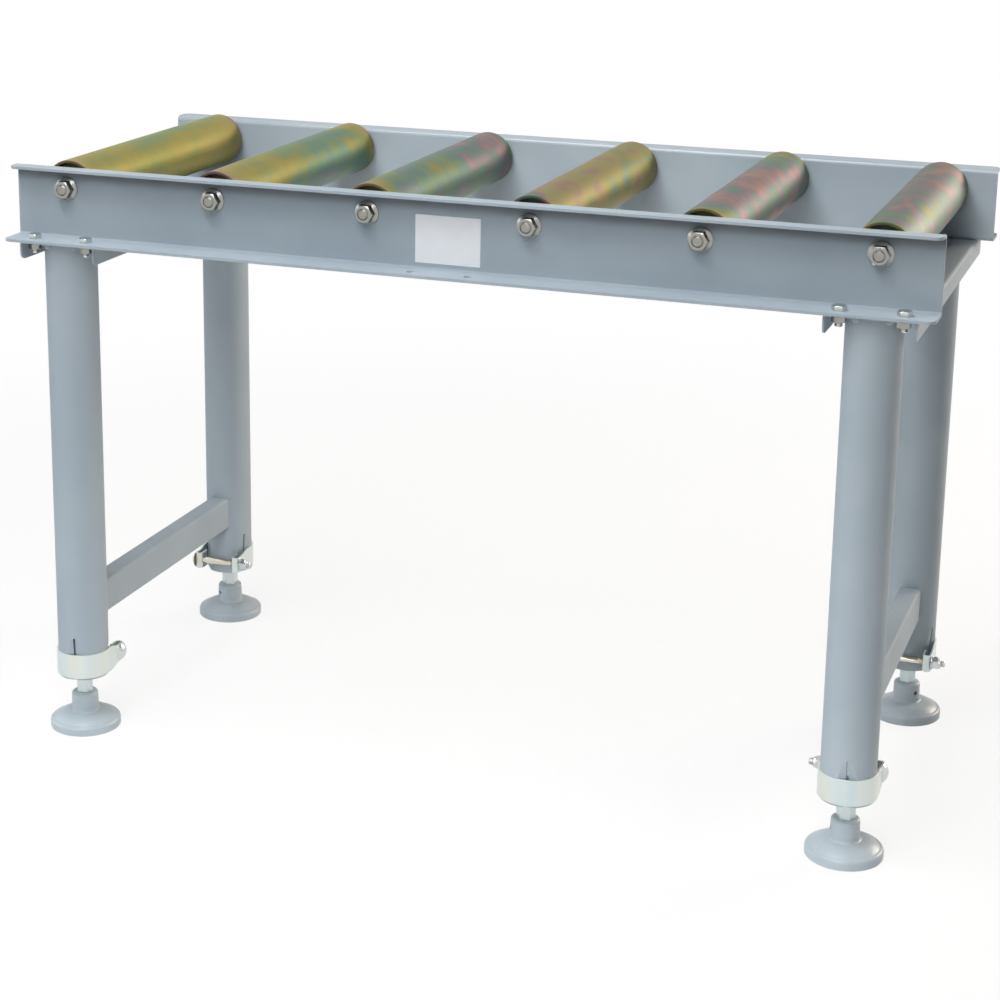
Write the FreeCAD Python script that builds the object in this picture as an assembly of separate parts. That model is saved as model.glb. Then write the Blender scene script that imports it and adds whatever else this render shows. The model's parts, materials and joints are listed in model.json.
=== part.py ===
import FreeCAD, Part
import math
import os
from FreeCAD import Vector

# Roller table on four telescoping legs. Millimetres, X along the table, Y across it, Z up from the floor.

# Side rails, bent from sheet with both flanges turned outwards
rail_length = 1000.0
rail_height = 80.0
rail_sheet = 3.0
rail_top_flange = 20.0
rail_bottom_flange = 37.0
bend_inside_radius = 2.0
flange_corner_radius = 8.0

# Rollers and their axles
roller_count = 6
roller_diameter = 60.0
roller_wall = 3.0
roller_length = 372.0
roller_end_gap = 4.5
roller_end_inset = 60.0
roller_proud = 6.0
roller_edge_chamfer = 0.8
axle_diameter = 15.0
axle_thread = 12.0
axle_thread_stub = 1.0
axle_chamfer = 1.5
axle_hole_clearance = 0.25
spacer_wall = 2.0

# Sealed bearings and the pressed cups that hold them in the roller tubes
bearing_diameter = 35.0
bearing_width = 11.0
inner_ring_wall = 2.5
outer_ring_wall = 3.5
seal_thickness = 1.0
cup_sheet = 1.5
cup_recess = 8.0
cup_front_lip = 1.0
cup_skirt = 16.0
cup_stop_lip = 3.0

# Leg frames
leg_end_inset = 62.0
leg_diameter = 57.0
leg_wall = 3.0
leg_length = 503.0
channel_sheet = 2.0
channel_depth = 20.0
channel_edge_margin = 14.0
channel_end_recess = 7.0
channel_corner_radius = 7.0
brace_width = 25.0
brace_height = 40.0
brace_wall = 2.0
brace_corner_radius = 4.0
brace_rise = 81.0
brace_cope_gap = 0.5

# Slits at the end of each leg tube, where the clamp presses its wall in on the inner tube
slit_length = 50.0
slit_width = 2.6
slit_count = 3
slit_turn = 8.0
pinch_depth = 1.8

# Strap clamps round the slit ends
collar_sheet = 2.0
collar_height = 28.0
collar_rise = 2.4
lug_height = 20.0
lug_bolt_reach = 4.5
lug_end_reach = 9.5
lug_fold_radius = 4.0
lug_return = 15.0
lug_taper_start = 0.4
lug_taper_length = 14.0

# Telescoping inner legs
inner_grip_gap = 0.1
inner_wall = 3.0
inner_top_gap = 4.0
plate_thickness = 4.0
plate_drop = 2.0

# Levelling feet and spindles
foot_diameter = 80.0
foot_rim_height = 11.0
foot_rim_round = 4.0
foot_base_round = 1.0
foot_boss_base = 18.0
foot_boss_diameter = 31.0
foot_boss_taper = 0.6
foot_boss_round = 3.0
foot_root_round = 3.0
foot_height = 41.0
spindle_hex = 17.0
spindle_hex_length = 20.8
spindle_thread = 16.0
spindle_thread_length = 62.0
spindle_neck = 12.0
spindle_neck_depth = 20.0
spindle_face_gap = 0.2
pin_diameter = 5.0
pin_drop = 11.0
pin_recess = 5.0
groove_depth = 1.5
groove_side_gap = 0.3

# Turn of each foot's pin and of each spindle's hexagon about its leg, in degrees from +X
pin_turns = {"front_left": 60.0, "front_right": -155.0, "rear_left": -124.0, "rear_right": -37.0}
spindle_turns = {"front_left": 3.0, "front_right": 5.0, "rear_left": 27.0, "rear_right": -17.0}

# Fasteners
bolt_diameter = 8.0
bolt_hex = 13.0
bolt_head_height = 5.3
bolt_nut_height = 6.5
bolt_tail = 4.5
bolt_hole_clearance = 0.5
rail_bolt_offset = 21.5
rail_bolt_leg_clear = 2.5
rail_bolt_turn = 30.0
cup_head_diameter = 20.6
cup_head_height = 4.9
lock_nut_collar = 3.0
lock_collar_share = 0.9
hex_land_share = 0.95
hex_chamfer_angle = 30.0
washer_diameter = 16.0
washer_thickness = 1.6
axle_nut_hex = 18.0
axle_nut_height = 12.0
axle_nut_flange = 26.0
axle_nut_flange_edge = 1.4
axle_nut_flange_rise = 3.6
plate_nut_hex = 24.0
plate_nut_height = 13.0

# Fits
seat_gap = 0.02
seal_gap = 0.08
thread_gap = 0.1

# Places that follow from the sizes
web_inner = roller_length / 2 + roller_end_gap
web_outer = web_inner + rail_sheet
web_middle = web_inner + rail_sheet / 2
plate_bottom = foot_height + spindle_hex_length + 2 * spindle_face_gap
plate_top = plate_bottom + plate_thickness
leg_bottom = plate_bottom + plate_drop
leg_top = leg_bottom + leg_length
rail_bottom = leg_top + channel_sheet
rail_top = rail_bottom + rail_height
axle_height = rail_top + roller_proud - roller_diameter / 2
leg_x = rail_length / 2 - leg_end_inset
leg_y = web_middle
leg_radius = leg_diameter / 2
rail_bolt_x = leg_radius + rail_bolt_leg_clear
rail_bolt_y = web_outer + rail_bolt_offset
bolt_hole = bolt_diameter + 2 * bolt_hole_clearance
channel_half_width = rail_bolt_x + channel_edge_margin
channel_half_length = web_outer + rail_bottom_flange - channel_end_recess
inner_radius = leg_radius - leg_wall - pinch_depth - inner_grip_gap
collar_inner = leg_radius + seat_gap
collar_outer = collar_inner + collar_sheet
collar_bottom = leg_bottom + collar_rise
clamp_height = collar_bottom + collar_height / 2
clamp_reach = leg_radius + lug_bolt_reach
roller_pitch = (rail_length - 2 * roller_end_inset) / (roller_count - 1)
roller_places = [roller_end_inset - rail_length / 2 + i * roller_pitch for i in range(roller_count)]
leg_signs = {"front_left": (-1, -1), "front_right": (1, -1), "rear_left": (-1, 1), "rear_right": (1, 1)}

AXIS_X = Vector(1, 0, 0)
AXIS_Y = Vector(0, 1, 0)
AXIS_Z = Vector(0, 0, 1)
TINY = 1e-6


def save(node, solids):
    """Writes one sub-part, a single solid or a group of separate ones."""
    shape = solids[0] if len(solids) == 1 else Part.makeCompound(solids)
    shape.exportStep(os.path.join("parts", node + ".step"))


def placed(shape, base, direction=AXIS_Z, turn=0.0):
    """The shape turned about Z, then tipped so that its Z lies along direction, then moved to base."""
    tip = FreeCAD.Rotation(AXIS_Z, direction)
    moved = shape.copy()
    moved.Placement = FreeCAD.Placement(base, tip.multiply(FreeCAD.Rotation(AXIS_Z, turn)))
    return moved


def turned(shape, degrees, base=Vector(0, 0, 0)):
    """The shape turned about the vertical through the origin, then moved by base."""
    moved = shape.copy()
    moved.Placement = FreeCAD.Placement(base, FreeCAD.Rotation(AXIS_Z, degrees))
    return moved


def spun(outline):
    """Solid of revolution about Z from (radius, height) points.

    A point with a third value is an arc's middle.
    """
    edges = []
    start = outline[0]
    through = None
    for point in outline[1:] + outline[:1]:
        if len(point) == 3:
            through = Vector(point[0], 0, point[1])
            continue
        a = Vector(start[0], 0, start[1])
        b = Vector(point[0], 0, point[1])
        if through is not None:
            edges.append(Part.Arc(a, through, b).toShape())
        elif a.distanceToPoint(b) > TINY:
            edges.append(Part.LineSegment(a, b).toShape())
        start = point
        through = None
    return Part.Face(Part.Wire(edges)).revolve(Vector(0, 0, 0), AXIS_Z, 360)


def round_middle(centre, radius, degrees):
    """Middle point of an arc in a revolved outline."""
    angle = math.radians(degrees)
    return (centre[0] + radius * math.cos(angle), centre[1] + radius * math.sin(angle), "arc")


def ring(outer, inner, height):
    return Part.makeCylinder(outer, height).cut(Part.makeCylinder(inner, height))


def hexagon(across_flats, height, chamfer_foot=True, chamfer_top=True):
    """Hexagon prism on Z = 0 with the corners turned off at 30 degrees."""
    corner = across_flats / math.sqrt(3)
    land = hex_land_share * across_flats / 2
    drop = (corner - land) * math.tan(math.radians(hex_chamfer_angle))
    turns = [i * math.pi / 3 for i in range(7)]
    points = [Vector(corner * math.cos(turn), corner * math.sin(turn), 0) for turn in turns]
    prism = Part.Face(Part.makePolygon(points)).extrude(Vector(0, 0, height))
    outline = [(0, 0), (land, 0), (corner, drop)] if chamfer_foot else [(0, 0), (corner, 0)]
    outline += [(corner, height - drop), (land, height)] if chamfer_top else [(corner, height)]
    return prism.common(spun(outline + [(0, height)]))


def strip_face(corners, radii, thickness, place):
    """Face of a bent strip.

    Its centre line goes through the corners, each rounded, and place puts it in space.
    """
    heading = [(b - a).normalize() for a, b in zip(corners, corners[1:])]
    left = [Vector(-h.y, h.x, 0) for h in heading]
    sides = []
    for side in (thickness / 2, -thickness / 2):
        edges = []
        start = corners[0] + left[0] * side
        for i, radius in enumerate(radii, 1):
            before, after = heading[i - 1], heading[i]
            turn = math.atan2(before.x * after.y - before.y * after.x, before.dot(after))
            reach = radius * math.tan(abs(turn) / 2)
            way = math.copysign(1, turn)
            centre = corners[i] - before * reach + left[i - 1] * (radius * way)
            middle = centre + (corners[i] - centre).normalize() * (radius - way * side)
            begin = corners[i] - before * reach + left[i - 1] * side
            finish = corners[i] + after * reach + left[i] * side
            if start.distanceToPoint(begin) > TINY:
                edges.append(Part.LineSegment(place(start), place(begin)).toShape())
            edges.append(Part.Arc(place(begin), place(middle), place(finish)).toShape())
            start = finish
        end = corners[-1] + left[-1] * side
        edges.append(Part.LineSegment(place(start), place(end)).toShape())
        sides.append((edges, end))
    across = left[0] * thickness / 2
    caps = [
        Part.LineSegment(place(corners[0] + across), place(corners[0] - across)),
        Part.LineSegment(place(sides[0][1]), place(sides[1][1])),
    ]
    loop = sides[0][0] + sides[1][0] + [cap.toShape() for cap in caps]
    return Part.Face(Part.Wire(Part.__sortEdges__(loop)))


def rounded_ends(shape, radius, direction, at):
    """Fillets the short straight edges that run along direction where at(middle) holds."""
    edges = []
    for edge in shape.Edges:
        if len(edge.Vertexes) == 2:
            along = edge.Vertexes[1].Point - edge.Vertexes[0].Point
            if along.Length > TINY and abs(along.normalize().dot(direction)) > 1 - TINY:
                if at(edge.CenterOfMass):
                    edges.append(edge)
    return shape.makeFillet(radius, edges)


def near(a, b):
    return abs(a - b) < 0.001


def make_rail():
    """Front rail: a channel with its web on the roller side and its flanges turned outwards, to -Y."""
    half_sheet = rail_sheet / 2
    corners = [
        Vector(-web_outer - rail_top_flange, rail_top - half_sheet, 0),
        Vector(-web_middle, rail_top - half_sheet, 0),
        Vector(-web_middle, rail_bottom + half_sheet, 0),
        Vector(-web_outer - rail_bottom_flange, rail_bottom + half_sheet, 0),
    ]
    radii = [bend_inside_radius + half_sheet] * 2
    face = strip_face(corners, radii, rail_sheet, lambda p: Vector(-rail_length / 2, p.x, p.y))
    rail = face.extrude(Vector(rail_length, 0, 0))
    tips = (-web_outer - rail_top_flange, -web_outer - rail_bottom_flange)
    rail = rounded_ends(
        rail,
        flange_corner_radius,
        AXIS_Z,
        lambda m: near(abs(m.x), rail_length / 2) and (near(m.y, tips[0]) or near(m.y, tips[1])),
    )
    axle_hole = axle_thread / 2 + axle_hole_clearance
    for x in roller_places:
        base = Vector(x, -web_outer - rail_sheet, axle_height)
        rail = rail.cut(Part.makeCylinder(axle_hole, 3 * rail_sheet, base, AXIS_Y))
    for station in (-leg_x, 0, leg_x):
        for side in (-1, 1):
            base = Vector(station + side * rail_bolt_x, -rail_bolt_y, rail_bottom - rail_sheet)
            rail = rail.cut(Part.makeCylinder(bolt_hole / 2, 3 * rail_sheet, base))
    return rail


def make_axle():
    """Axle along Y: a shouldered bar clamped between the webs by its threaded ends."""
    end = web_outer + axle_nut_height + axle_thread_stub
    outline = [
        (0, -end),
        (axle_thread / 2 - axle_chamfer, -end),
        (axle_thread / 2, -end + axle_chamfer),
        (axle_thread / 2, -web_inner),
        (axle_diameter / 2, -web_inner),
        (axle_diameter / 2, web_inner),
        (axle_thread / 2, web_inner),
        (axle_thread / 2, end - axle_chamfer),
        (axle_thread / 2 - axle_chamfer, end),
        (0, end),
    ]
    return spun(outline)


def make_axle_nut():
    """Flange nut on Z = 0: a hexagon rising out of a dished washer face."""
    flange = spun(
        [
            (0, 0),
            (axle_nut_flange / 2, 0),
            (axle_nut_flange / 2, axle_nut_flange_edge),
            (axle_nut_hex / 2, axle_nut_flange_rise),
            (0, axle_nut_flange_rise),
        ]
    )
    nut = flange.fuse(hexagon(axle_nut_hex, axle_nut_height, chamfer_foot=False)).removeSplitter()
    return nut.cut(Part.makeCylinder(axle_thread / 2 + seat_gap, axle_nut_height))


def make_roller_tube():
    outer = roller_diameter / 2
    inner = outer - roller_wall
    half = roller_length / 2
    edge = roller_edge_chamfer
    outline = [
        (inner, -half),
        (outer - edge, -half),
        (outer, -half + edge),
        (outer, half - edge),
        (outer - edge, half),
        (inner, half),
    ]
    return spun(outline)


def make_end_cup():
    """Pressed cup with its open face on Z = 0: skirt, face, bearing seat and stop lip, up to +Z."""
    outer = roller_diameter / 2 - roller_wall - seat_gap
    seat = bearing_diameter / 2 + seat_gap
    pocket = cup_front_lip + bearing_width
    outline = [
        (outer, 0),
        (outer, cup_skirt),
        (outer - cup_sheet, cup_skirt),
        (outer - cup_sheet, cup_sheet),
        (seat + cup_sheet, cup_sheet),
        (seat + cup_sheet, pocket + cup_sheet),
        (seat - cup_stop_lip, pocket + cup_sheet),
        (seat - cup_stop_lip, pocket),
        (seat, pocket),
        (seat, 0),
    ]
    return spun(outline)


def make_bearing_outer():
    """Outer ring with its two seals, which run just clear of the inner ring."""
    outer = bearing_diameter / 2
    race = outer - outer_ring_wall
    lip = axle_diameter / 2 + inner_ring_wall + seal_gap
    outline = [
        (outer, 0),
        (outer, bearing_width),
        (lip, bearing_width),
        (lip, bearing_width - seal_thickness),
        (race, bearing_width - seal_thickness),
        (race, seal_thickness),
        (lip, seal_thickness),
        (lip, 0),
    ]
    return spun(outline)


def pressed_bar(radius, turns):
    """Round bar as long as a leg, pressed flat in the clamp at each turn and round above the slits."""
    flat = radius - pinch_depth
    side = [
        (flat, 0),
        (flat, collar_rise + collar_height),
        (radius, slit_length),
        (2 * radius, slit_length),
        (2 * radius, 0),
    ]
    points = [Vector(x, -radius, z) for x, z in side]
    pressed = Part.Face(Part.makePolygon(points + points[:1])).extrude(Vector(0, 2 * radius, 0))
    bar = Part.makeCylinder(radius, leg_length)
    for degrees in turns:
        bar = bar.cut(turned(pressed, degrees))
    return bar


def make_leg_tube(turn):
    """Leg tube on its own axis, pressed in at its slits. turn is 0 at the front and 180 at the rear."""
    turns = [turn - 90 + slit_turn + i * 360 / slit_count for i in range(slit_count)]
    tube = pressed_bar(leg_radius, turns).cut(pressed_bar(leg_radius - leg_wall, turns))
    slit = Part.makeBox(leg_diameter, slit_width, slit_length, Vector(0, -slit_width / 2, 0))
    for degrees in turns:
        tube = tube.cut(turned(slit, degrees))
    return placed(tube, Vector(0, 0, leg_bottom))


def make_top_channel():
    """Channel under the rail ends, open downwards, that carries a pair of legs.

    Its middle is at X = 0, and its ends stand back behind the rails' flanges.
    """
    half_sheet = channel_sheet / 2
    side = channel_half_width - half_sheet
    low = rail_bottom - channel_depth
    top = rail_bottom - half_sheet
    corners = [Vector(-side, low, 0), Vector(-side, top, 0), Vector(side, top, 0), Vector(side, low, 0)]
    radii = [bend_inside_radius + half_sheet] * 2
    face = strip_face(corners, radii, channel_sheet, lambda p: Vector(p.x, -channel_half_length, p.y))
    channel = face.extrude(Vector(0, 2 * channel_half_length, 0))
    channel = rounded_ends(
        channel,
        channel_corner_radius,
        AXIS_X,
        lambda m: near(abs(m.y), channel_half_length) and near(m.z, low),
    )
    for x in (-rail_bolt_x, rail_bolt_x):
        for y in (-rail_bolt_y, rail_bolt_y):
            base = Vector(x, y, rail_bottom - 2 * channel_sheet)
            channel = channel.cut(Part.makeCylinder(bolt_hole / 2, 3 * channel_sheet, base))
    return channel


def rounded_bar(width, height, radius, length):
    """Bar along Y with rounded corners, centred on the Y axis."""
    bar = Part.makeBox(width, length, height, Vector(-width / 2, -length / 2, -height / 2))
    return bar.makeFillet(radius, [e for e in bar.Edges if near(e.BoundBox.YLength, length)])


def make_cross_brace():
    """Rectangular tube between a pair of legs, its ends coped to their walls. Its middle is at X = 0."""
    bar = rounded_bar(brace_width, brace_height, brace_corner_radius, 2 * leg_y)
    hollow = rounded_bar(
        brace_width - 2 * brace_wall,
        brace_height - 2 * brace_wall,
        brace_corner_radius - brace_wall / 2,
        3 * leg_y,
    )
    brace = bar.cut(hollow)
    cope = leg_radius + brace_cope_gap
    for y in (-leg_y, leg_y):
        brace = brace.cut(Part.makeCylinder(cope, 2 * brace_height, Vector(0, y, -brace_height)))
    return placed(brace, Vector(0, 0, leg_bottom + brace_rise))


def make_clamp_collar():
    """Strap round a front leg: a half ring whose ends run to +Y, taper and fold over as lugs."""
    middle = collar_inner + collar_sheet / 2
    fold = middle - 2 * lug_fold_radius
    end = leg_radius + lug_end_reach + collar_sheet / 2
    tail = end - lug_return
    corners = [
        Vector(fold, tail, 0),
        Vector(fold, end, 0),
        Vector(middle, end, 0),
        Vector(middle, -middle, 0),
        Vector(-middle, -middle, 0),
        Vector(-middle, end, 0),
        Vector(-fold, end, 0),
        Vector(-fold, tail, 0),
    ]
    radii = [lug_fold_radius] * 2 + [middle] * 2 + [lug_fold_radius] * 2
    strap = strip_face(corners, radii, collar_sheet, lambda p: Vector(p.x, p.y, collar_bottom))
    strap = strap.extrude(Vector(0, 0, collar_height))
    taper = leg_radius * lug_taper_start
    slim = (collar_height - lug_height) / 2
    side = [
        (-2 * middle, 0),
        (taper, 0),
        (taper + lug_taper_length, slim),
        (2 * end, slim),
        (2 * end, collar_height - slim),
        (taper + lug_taper_length, collar_height - slim),
        (taper, collar_height),
        (-2 * middle, collar_height),
    ]
    points = [Vector(-2 * middle, y, collar_bottom + z) for y, z in side]
    window = Part.Face(Part.makePolygon(points + points[:1])).extrude(Vector(4 * middle, 0, 0))
    hole_base = Vector(-2 * middle, clamp_reach, clamp_height)
    return strap.common(window).cut(Part.makeCylinder(bolt_hole / 2, 4 * middle, hole_base, AXIS_X))


def make_cup_head_bolt():
    """Clamp bolt along Z: round cup head below Z = 0, shank upwards through both lugs to its nut."""
    head = cup_head_diameter / 2
    round_radius = (head**2 + cup_head_height**2) / (2 * cup_head_height)
    centre = (0, round_radius - cup_head_height)
    half_angle = math.degrees(math.asin(head / round_radius)) / 2
    shank = 2 * collar_outer + washer_thickness + bolt_nut_height + lock_nut_collar + bolt_tail
    chamfer = bolt_diameter / 8
    outline = [
        (0, -cup_head_height),
        round_middle(centre, round_radius, half_angle - 90),
        (head, 0),
        (bolt_diameter / 2, 0),
        (bolt_diameter / 2, shank - chamfer),
        (bolt_diameter / 2 - chamfer, shank),
        (0, shank),
    ]
    return spun(outline)


def make_lock_nut():
    """Lock nut on Z = 0: hexagon with a round collar on top."""
    nut = hexagon(bolt_hex, bolt_nut_height)
    collar = Part.makeCylinder(lock_collar_share * bolt_hex / 2, bolt_nut_height + lock_nut_collar)
    rim = [e for e in collar.Edges if near(e.CenterOfMass.z, collar.BoundBox.ZMax)]
    collar = collar.makeFillet(lock_nut_collar / 2, rim)
    nut = nut.fuse(collar).removeSplitter()
    return nut.cut(Part.makeCylinder(bolt_diameter / 2 + seat_gap, collar.BoundBox.ZMax))


def make_rail_bolt():
    """Hexagon bolt with its head on Z = 0 and its shank downwards."""
    shank = rail_sheet + channel_sheet + bolt_nut_height + bolt_tail
    chamfer = bolt_diameter / 8
    outline = [
        (0, -shank),
        (bolt_diameter / 2 - chamfer, -shank),
        (bolt_diameter / 2, chamfer - shank),
        (bolt_diameter / 2, bolt_head_height / 2),
        (0, bolt_head_height / 2),
    ]
    return hexagon(bolt_hex, bolt_head_height, chamfer_foot=False).fuse(spun(outline)).removeSplitter()


def make_foot():
    """Cast foot on its own axis: rim, low dome, and a boss with a blind bore and a cross hole for the pin."""
    rim = foot_diameter / 2
    boss = foot_boss_diameter / 2
    neck = boss - foot_boss_taper
    shoulder = rim - foot_rim_round
    root = boss + foot_root_round
    bore = spindle_neck / 2 + thread_gap / 2
    base = foot_base_round
    outline = [
        (0, 0),
        (rim - base, 0),
        round_middle((rim - base, base), base, -45),
        (rim, base),
        (rim, foot_rim_height - foot_rim_round),
        round_middle((shoulder, foot_rim_height - foot_rim_round), foot_rim_round, 45),
        (shoulder, foot_rim_height),
        ((shoulder + root) / 2, (foot_rim_height + foot_boss_base) / 2 + foot_root_round / 2, "arc"),
        (root, foot_boss_base),
        round_middle((root, foot_boss_base + foot_root_round), foot_root_round, -135),
        (boss, foot_boss_base + foot_root_round),
        (neck, foot_height - foot_boss_round),
        round_middle((neck - foot_boss_round, foot_height - foot_boss_round), foot_boss_round, 45),
        (neck - foot_boss_round, foot_height),
        (bore, foot_height),
        (bore, foot_height - spindle_neck_depth),
        (0, foot_height - spindle_neck_depth),
    ]
    hole_base = Vector(0, 0, foot_height - pin_drop)
    return spun(outline).cut(Part.makeCylinder(pin_diameter / 2, foot_diameter / 2, hole_base, AXIS_X))


def make_foot_pin():
    """Headless pin lying along +X in the boss, its tip in the spindle's groove."""
    tip = spindle_neck / 2 - groove_depth + groove_side_gap
    length = foot_boss_diameter / 2 - pin_recess - tip
    base = Vector(tip, 0, foot_height - pin_drop)
    return Part.makeCylinder(pin_diameter / 2 - seat_gap, length, base, AXIS_X)


def make_spindle():
    """Levelling spindle on its own axis: grooved neck in the foot, hexagon, and thread up into the leg."""
    low = foot_height - spindle_neck_depth + spindle_face_gap
    hex_low = foot_height + spindle_face_gap
    hex_high = hex_low + spindle_hex_length
    top = hex_high + spindle_thread_length
    neck = spindle_neck / 2
    thread = spindle_thread / 2
    groove_half = pin_diameter / 2 + groove_side_gap
    groove = foot_height - pin_drop
    chamfer = thread / 6
    outline = [
        (0, low),
        (neck, low),
        (neck, groove - groove_half),
        (neck - groove_depth, groove - groove_half),
        (neck - groove_depth, groove + groove_half),
        (neck, groove + groove_half),
        (neck, hex_low + spindle_hex_length / 2),
        (thread, hex_low + spindle_hex_length / 2),
        (thread, top - chamfer),
        (thread - chamfer, top),
        (0, top),
    ]
    flats = placed(hexagon(spindle_hex, spindle_hex_length), Vector(0, 0, hex_low))
    return flats.fuse(spun(outline)).removeSplitter()


def make_inner_tube():
    length = leg_top - inner_top_gap - plate_top
    return placed(ring(inner_radius, inner_radius - inner_wall, length), Vector(0, 0, plate_top))


def make_end_plate():
    """Round plate that closes the inner tube, and the nut welded on it for the spindle."""
    bore = spindle_thread / 2 + thread_gap
    plate = placed(ring(inner_radius, bore, plate_thickness), Vector(0, 0, plate_bottom))
    nut = hexagon(plate_nut_hex, plate_nut_height).cut(Part.makeCylinder(bore, plate_nut_height))
    return [plate, placed(nut, Vector(0, 0, plate_top))]


def build_rails_and_rollers():
    rail = make_rail()
    save("front_rail", [rail])
    save("rear_rail", [turned(rail, 180)])

    tube = make_roller_tube()
    cup = make_end_cup()
    bearing = make_bearing_outer()
    inner_ring = ring(axle_diameter / 2 + inner_ring_wall, axle_diameter / 2 + seat_gap, bearing_width)
    spacer_length = roller_end_gap + cup_recess + cup_front_lip
    spacer = ring(axle_diameter / 2 + spacer_wall, axle_diameter / 2 + seat_gap, spacer_length)
    axle = make_axle()
    nut = make_axle_nut()
    cup_place = roller_length / 2 - cup_recess
    bearing_place = cup_place - cup_front_lip
    axles, nuts, spacers, inner_rings = [], [], [], []
    for number, x in enumerate(roller_places, 1):
        centre = Vector(x, 0, axle_height)
        cups, bearings = [], []
        for side in (-1, 1):
            inwards = AXIS_Y * -side
            cups.append(placed(cup, centre + AXIS_Y * (side * cup_place), inwards))
            bearings.append(placed(bearing, centre + AXIS_Y * (side * bearing_place), inwards))
            inner_rings.append(placed(inner_ring, centre + AXIS_Y * (side * bearing_place), inwards))
            spacers.append(placed(spacer, centre + AXIS_Y * (side * web_inner), inwards))
            nuts.append(placed(nut, centre + AXIS_Y * (side * web_outer), AXIS_Y * side))
        axles.append(placed(axle, centre, AXIS_Y))
        save(f"roller_{number}_tube", [placed(tube, centre, AXIS_Y)])
        save(f"roller_{number}_end_cups", cups)
        save(f"roller_{number}_bearings", bearings)
    save("roller_axles", axles)
    save("axle_nuts", nuts)
    save("axle_spacers", spacers)
    save("bearing_inner_rings", inner_rings)


def build_leg_frames():
    channel = make_top_channel()
    brace = make_cross_brace()
    bolt = make_rail_bolt()
    nut = hexagon(bolt_hex, bolt_nut_height)
    nut = nut.cut(Part.makeCylinder(bolt_diameter / 2 + seat_gap, bolt_nut_height))
    bolts, nuts = [], []
    for end, sign in (("left", -1), ("right", 1)):
        save(f"top_channel_{end}", [placed(channel, Vector(sign * leg_x, 0, 0))])
        save(f"cross_brace_{end}", [placed(brace, Vector(sign * leg_x, 0, brace.Placement.Base.z))])
        for x in (-rail_bolt_x, rail_bolt_x):
            for y in (-rail_bolt_y, rail_bolt_y):
                head = Vector(sign * leg_x + x, y, rail_bottom + rail_sheet)
                below = Vector(sign * leg_x + x, y, leg_top)
                bolts.append(placed(bolt, head, AXIS_Z, rail_bolt_turn))
                nuts.append(placed(nut, below, -AXIS_Z, rail_bolt_turn))
    save("rail_bolts", bolts)
    save("rail_nuts", nuts)


def build_legs():
    collar = make_clamp_collar()
    clamp_bolt = placed(make_cup_head_bolt(), Vector(collar_outer, clamp_reach, clamp_height), -AXIS_X)
    washer = ring(washer_diameter / 2, bolt_diameter / 2 + bolt_hole_clearance / 2, washer_thickness)
    washer = placed(washer, Vector(-collar_outer, clamp_reach, clamp_height), -AXIS_X)
    nut_seat = Vector(-collar_outer - washer_thickness, clamp_reach, clamp_height)
    lock_nut = placed(make_lock_nut(), nut_seat, -AXIS_X)
    bolts, nuts = [], []
    for corner, (sign_x, sign_y) in leg_signs.items():
        base = Vector(sign_x * leg_x, sign_y * leg_y, 0)
        turn = 0 if sign_y < 0 else 180
        whole_turn = FreeCAD.Placement(base, FreeCAD.Rotation(AXIS_Z, turn))
        for group, shapes in ((bolts, [clamp_bolt]), (nuts, [washer, lock_nut])):
            for shape in shapes:
                moved = shape.copy()
                moved.Placement = whole_turn.multiply(shape.Placement)
                group.append(moved)
        tube = make_leg_tube(turn)
        tube.translate(base)
        save(f"leg_tube_{corner}", [tube])
        save(f"clamp_collar_{corner}", [turned(collar, turn, base)])
        inner = make_inner_tube()
        inner.translate(base)
        save(f"inner_tube_{corner}", [inner])
        plate = make_end_plate()
        for solid in plate:
            solid.translate(base)
        save(f"end_plate_{corner}", plate)
        save(f"foot_{corner}", [turned(make_foot(), pin_turns[corner], base)])
        save(f"foot_pin_{corner}", [turned(make_foot_pin(), pin_turns[corner], base)])
        save(f"spindle_{corner}", [turned(make_spindle(), spindle_turns[corner], base)])
    save("clamp_bolts", bolts)
    save("clamp_nuts", nuts)


os.makedirs("parts", exist_ok=True)
build_rails_and_rollers()
build_leg_frames()
build_legs()
print("roller pitch", roller_pitch, "axle height", axle_height, "overall height", rail_top + roller_proud)
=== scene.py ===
# Looks of the roller table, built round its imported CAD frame.
# Metres, Z up from the floor, X along the table, the labelled front rail on the -Y side.
import json
import math

import bpy
import numpy as np
from mathutils import Matrix, Vector

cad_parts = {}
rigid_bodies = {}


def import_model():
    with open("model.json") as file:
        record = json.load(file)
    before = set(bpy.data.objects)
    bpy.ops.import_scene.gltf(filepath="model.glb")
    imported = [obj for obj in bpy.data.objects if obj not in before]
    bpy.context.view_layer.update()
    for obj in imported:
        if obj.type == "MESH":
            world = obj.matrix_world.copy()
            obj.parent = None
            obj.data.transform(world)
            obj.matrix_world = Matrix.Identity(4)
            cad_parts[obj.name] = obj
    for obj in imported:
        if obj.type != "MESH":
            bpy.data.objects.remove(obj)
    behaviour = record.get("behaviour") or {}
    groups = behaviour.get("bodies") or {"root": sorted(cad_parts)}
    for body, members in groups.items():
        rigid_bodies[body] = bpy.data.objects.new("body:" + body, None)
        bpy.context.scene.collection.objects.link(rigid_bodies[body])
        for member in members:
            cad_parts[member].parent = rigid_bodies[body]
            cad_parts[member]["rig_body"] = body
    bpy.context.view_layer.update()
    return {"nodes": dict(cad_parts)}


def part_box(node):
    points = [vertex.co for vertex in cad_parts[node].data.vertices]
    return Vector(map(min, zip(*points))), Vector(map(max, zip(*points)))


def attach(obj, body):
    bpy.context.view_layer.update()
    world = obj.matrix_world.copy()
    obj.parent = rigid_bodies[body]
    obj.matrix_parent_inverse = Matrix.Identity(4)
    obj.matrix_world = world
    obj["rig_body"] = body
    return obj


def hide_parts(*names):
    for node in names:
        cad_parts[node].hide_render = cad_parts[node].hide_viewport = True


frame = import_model()
nodes = frame["nodes"]
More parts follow.
